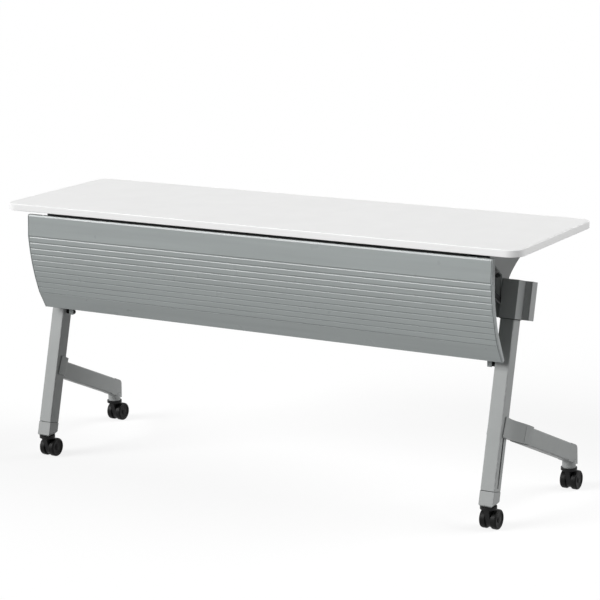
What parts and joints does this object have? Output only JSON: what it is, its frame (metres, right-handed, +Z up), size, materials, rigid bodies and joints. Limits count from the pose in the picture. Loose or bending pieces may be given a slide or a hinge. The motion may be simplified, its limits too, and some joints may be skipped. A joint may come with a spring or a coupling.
{
  "type": "flip top training table",
  "caption": "White flip top training table with a grooved grey modesty panel that folds with the top, leaning square legs, splayed rear arms and black twin wheel casters.",
  "frame": {"origin": "on the floor under the middle of the table top", "axes": "+X along the table, -Y towards the modesty panel, +Y towards the sitter, +Z up"},
  "size_m": [1.5, 0.4515, 0.7],
  "materials": {
    "white_board": "wood board faced with matt white laminate",
    "white_edge": "soft white edge band",
    "silver_paint": "silver grey powder coat on steel",
    "grey_plastic": "moulded silver grey plastic",
    "panel_plastic": "silver grey moulded panel with a faint sheen",
    "dark_steel": "dark grey painted steel",
    "zinc_steel": "bright zinc plating",
    "black_plastic": "black moulded nylon",
    "black_tread": "black urethane tread and wheel",
    "black_rubber": "black rubber"
  },
  "bodies": {
    "frame": {"cross_beam": "silver_paint", "leg_tube_left": "silver_paint", "leg_tube_right": "silver_paint", "leg_head_left": "silver_paint", "leg_head_right": "silver_paint", "front_foot_left": "grey_plastic", "front_foot_right": "grey_plastic", "arm_socket_left": "silver_paint", "arm_socket_right": "silver_paint", "rear_arm_left": "silver_paint", "rear_arm_right": "silver_paint", "rear_foot_left": "grey_plastic", "rear_foot_right": "grey_plastic", "beam_end_cap_left": "grey_plastic", "beam_end_cap_right": "grey_plastic", "pivot_block_left": "silver_paint", "pivot_block_right": "silver_paint", "pivot_pin_left": "zinc_steel", "pivot_pin_right": "zinc_steel", "rest_peg_left": "black_rubber", "rest_peg_right": "black_rubber", "frame_bolt_lower_left": "zinc_steel", "frame_bolt_lower_right": "zinc_steel", "frame_bolt_upper_left": "zinc_steel", "frame_bolt_upper_right": "zinc_steel"},
    "top": {"tabletop_core": "white_board", "tabletop_edge": "white_edge", "top_rail": "dark_steel", "gap_strip": "black_rubber", "top_bracket_left": "silver_paint", "top_bracket_right": "silver_paint", "panel_hinge_arm_left": "dark_steel", "panel_hinge_arm_right": "dark_steel", "lock_spring_left": "zinc_steel", "lock_spring_right": "zinc_steel"},
    "panel": {"modesty_panel": "panel_plastic", "panel_end_cap_left": "panel_plastic", "panel_end_cap_right": "panel_plastic", "panel_hinge_pin_left": "zinc_steel", "panel_hinge_pin_right": "zinc_steel"},
    "link_left": {"panel_link_left": "dark_steel"},
    "link_right": {"panel_link_right": "dark_steel"},
    "release": {"release_shaft": "dark_steel", "release_lever_left": "black_plastic", "release_lever_right": "black_plastic"},
    "bolt_left": {"lock_bolt_left": "zinc_steel"},
    "bolt_right": {"lock_bolt_right": "zinc_steel"},
    "caster_front_left": {"caster_fork_front_left": "black_plastic"},
    "wheels_front_left": {"caster_wheels_front_left": "black_tread"},
    "caster_front_right": {"caster_fork_front_right": "black_plastic"},
    "wheels_front_right": {"caster_wheels_front_right": "black_tread"},
    "caster_rear_left": {"caster_fork_rear_left": "black_plastic"},
    "wheels_rear_left": {"caster_wheels_rear_left": "black_tread"},
    "caster_rear_right": {"caster_fork_rear_right": "black_plastic"},
    "wheels_rear_right": {"caster_wheels_rear_right": "black_tread"}
  },
  "joints": [
    {"name": "flip", "type": "hinge", "parent": "frame", "child": "top", "pos_m": [0, -0.06103, 0.56], "axis": [1, 0, 0], "range_deg": [0, 90]},
    {"name": "panel_fold", "type": "hinge", "parent": "top", "child": "panel", "pos_m": [0, -0.207, 0.64], "axis": [1, 0, 0], "range_deg": [-120, 0]},
    {"name": "link_left_swing", "type": "hinge", "parent": "frame", "child": "link_left", "pos_m": [0, -0.06248, 0.5314], "axis": [1, 0, 0], "range_deg": [0, 90]},
    {"name": "link_right_swing", "type": "hinge", "parent": "frame", "child": "link_right", "pos_m": [0, -0.06248, 0.5314], "axis": [1, 0, 0], "range_deg": [0, 90]},
    {"name": "release_squeeze", "type": "hinge", "parent": "top", "child": "release", "pos_m": [0, -0.09703, 0.642], "axis": [1, 0, 0], "range_deg": [-8, 0]},
    {"name": "bolt_left_slide", "type": "slide", "parent": "top", "child": "bolt_left", "axis": [0, 0, 1], "range_m": [-0.0052, 0], "deforming": ["lock_spring_left"]},
    {"name": "bolt_right_slide", "type": "slide", "parent": "top", "child": "bolt_right", "axis": [0, 0, 1], "range_m": [-0.0052, 0], "deforming": ["lock_spring_right"]},
    {"name": "swivel_front_left", "type": "hinge", "parent": "frame", "child": "caster_front_left", "pos_m": [-0.662, -0.195, 0.062], "axis": [0, 0, 1], "continuous": true},
    {"name": "roll_front_left", "type": "hinge", "parent": "caster_front_left", "child": "wheels_front_left", "pos_m": [-0.662, -0.179, 0.025], "axis": [1, 0, 0], "continuous": true},
    {"name": "swivel_front_right", "type": "hinge", "parent": "frame", "child": "caster_front_right", "pos_m": [0.662, -0.195, 0.062], "axis": [0, 0, 1], "continuous": true},
    {"name": "roll_front_right", "type": "hinge", "parent": "caster_front_right", "child": "wheels_front_right", "pos_m": [0.662, -0.179, 0.025], "axis": [1, 0, 0], "continuous": true},
    {"name": "swivel_rear_left", "type": "hinge", "parent": "frame", "child": "caster_rear_left", "pos_m": [-0.708, 0.1855, 0.062], "axis": [0, 0, 1], "continuous": true},
    {"name": "roll_rear_left", "type": "hinge", "parent": "caster_rear_left", "child": "wheels_rear_left", "pos_m": [-0.708, 0.2015, 0.025], "axis": [1, 0, 0], "continuous": true},
    {"name": "swivel_rear_right", "type": "hinge", "parent": "frame", "child": "caster_rear_right", "pos_m": [0.708, 0.1855, 0.062], "axis": [0, 0, 1], "continuous": true},
    {"name": "roll_rear_right", "type": "hinge", "parent": "caster_rear_right", "child": "wheels_rear_right", "pos_m": [0.708, 0.2015, 0.025], "axis": [1, 0, 0], "continuous": true}
  ],
  "couplings": [
    {"joint": "panel_fold", "follows": "flip", "ratio": -1.3333},
    {"joint": "link_left_swing", "follows": "flip", "ratio": 1},
    {"joint": "link_right_swing", "follows": "flip", "ratio": 1},
    {"joint": "bolt_left_slide", "follows": "release_squeeze", "m_per_rad": 0.036},
    {"joint": "bolt_right_slide", "follows": "release_squeeze", "m_per_rad": 0.036}
  ]
}
